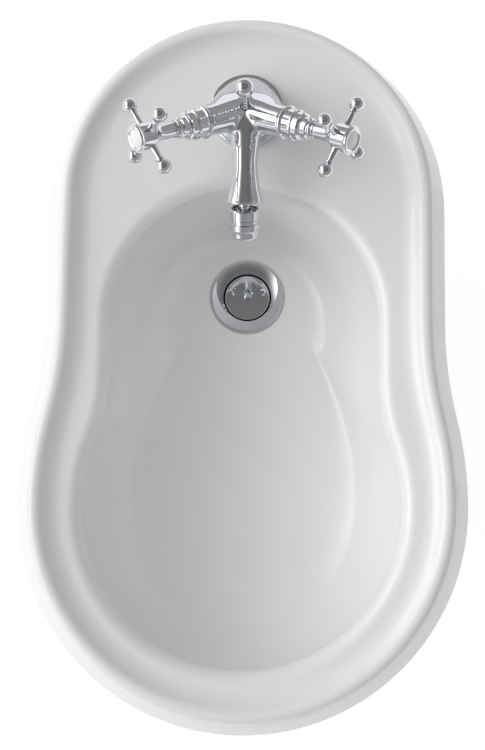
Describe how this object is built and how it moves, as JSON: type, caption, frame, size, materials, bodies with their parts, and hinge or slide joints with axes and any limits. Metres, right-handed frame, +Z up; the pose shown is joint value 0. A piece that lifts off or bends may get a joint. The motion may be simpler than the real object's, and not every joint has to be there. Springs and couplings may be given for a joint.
{
  "type": "bidet",
  "caption": "Floor-standing white ceramic bidet with a flared rim, a cross-handle tap with swivel nozzle, and a pop-up waste worked by a lift knob.",
  "frame": {"origin": "on the floor, under the middle of the rim", "axes": "+Z up, +Y from the user's seat towards the tap, +X to the right of a person who looks at the tap"},
  "size_m": [0.358, 0.58, 0.5007],
  "materials": {
    "glazed_china": "white vitreous china under a clear gloss glaze",
    "chrome": "polished chrome plate on brass",
    "porcelain": "white glazed porcelain",
    "raw_brass": "plain machined brass",
    "steel": "stainless steel, as machined",
    "rubber": "black moulded rubber",
    "plastic": "white engineering plastic",
    "valve_ceramic": "lapped alumina"
  },
  "bodies": {
    "stand": {"ceramic_body": "glazed_china", "tap_body": "chrome", "base_ring": "chrome", "hot_bonnet": "chrome", "cold_bonnet": "chrome", "swivel_ball": "chrome", "waste_flange": "chrome", "waste_body": "raw_brass", "lock_nut": "raw_brass", "pivot_nut": "raw_brass", "hot_valve_body": "raw_brass", "cold_valve_body": "raw_brass", "tail_pipe": "raw_brass", "fixing_stud": "steel", "fixing_nut": "steel", "fixing_plate": "steel", "flange_seal": "rubber", "body_seal": "rubber", "base_seal": "rubber", "fixing_seal": "rubber", "hot_valve_seal": "rubber", "cold_valve_seal": "rubber", "pivot_seat": "plastic", "rod_guide": "plastic", "hot_fixed_disc": "valve_ceramic", "cold_fixed_disc": "valve_ceramic"},
    "hot_cross": {"hot_handle": "chrome", "hot_spindle": "raw_brass", "hot_moving_disc": "valve_ceramic", "hot_handle_screw": "steel", "hot_index_ring": "chrome", "hot_index": "porcelain"},
    "cold_cross": {"cold_handle": "chrome", "cold_spindle": "raw_brass", "cold_moving_disc": "valve_ceramic", "cold_handle_screw": "steel", "cold_index_ring": "chrome", "cold_index": "porcelain"},
    "lift": {"lift_rod": "chrome", "lift_knob": "chrome", "lift_strap": "raw_brass", "strap_screw": "raw_brass"},
    "lever": {"plug_lever": "raw_brass"},
    "plug": {"waste_plug": "chrome", "plug_seal": "rubber"},
    "seat_ring": {"ball_seat": "plastic"},
    "nozzle": {"nozzle_housing": "chrome", "aerator_insert": "plastic", "aerator_mesh": "steel"}
  },
  "joints": [
    {"name": "hot_handle_turn", "type": "hinge", "parent": "stand", "child": "hot_cross", "pos_m": [0, 0.1875, 0.425], "axis": [-0.7568, -0.4024, 0.515], "range_deg": [0, 90]},
    {"name": "cold_handle_turn", "type": "hinge", "parent": "stand", "child": "cold_cross", "pos_m": [0, 0.1875, 0.425], "axis": [0.7568, -0.4024, 0.515], "range_deg": [-90, 0]},
    {"name": "lift_rod_slide", "type": "slide", "parent": "stand", "child": "lift", "axis": [0, 0, -1], "range_m": [0, 0.026]},
    {"name": "lever_tilt", "type": "hinge", "parent": "stand", "child": "lever", "pos_m": [0, 0.103, 0.208], "axis": [-1, 0, 0], "range_deg": [0, 16.9]},
    {"name": "plug_lift", "type": "slide", "parent": "stand", "child": "plug", "axis": [0, 0, 1], "range_m": [0, 0.0089]},
    {"name": "nozzle_tilt", "type": "hinge", "parent": "stand", "child": "seat_ring", "pos_m": [0, 0.10916, 0.41363], "axis": [1, 0, 0], "range_deg": [-12, 12]},
    {"name": "nozzle_sway", "type": "hinge", "parent": "seat_ring", "child": "nozzle", "pos_m": [0, 0.10916, 0.41363], "axis": [0, -0.5592, 0.829], "range_deg": [-12, 12]}
  ],
  "couplings": [
    {"joint": "lever_tilt", "follows": "lift_rod_slide", "rad_per_m": 11.325},
    {"joint": "plug_lift", "follows": "lift_rod_slide", "ratio": 0.33975}
  ]
}
